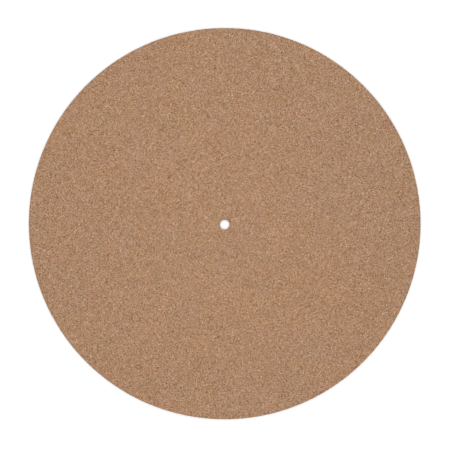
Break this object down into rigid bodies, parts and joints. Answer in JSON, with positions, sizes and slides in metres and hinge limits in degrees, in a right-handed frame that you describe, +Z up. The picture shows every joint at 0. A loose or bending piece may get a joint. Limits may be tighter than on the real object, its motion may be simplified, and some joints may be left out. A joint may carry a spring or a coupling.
{
  "type": "turntable platter mat",
  "caption": "Flat round cork mat with a small spindle hole in the middle; it lies loose on a turntable's platter and carries the record.",
  "frame": {"origin": "middle of the spindle hole at the mat's underside, where the mat lies on the platter", "axes": "+Z up along the spindle, through the mat's thickness; X and Y in the plane of the mat, which is the same all round"},
  "size_m": [0.3, 0.3, 0.003],
  "materials": {
    "cork": "matte"
  },
  "bodies": {
    "root": {"platter_mat": "cork"}
  },
  "joints": []
}
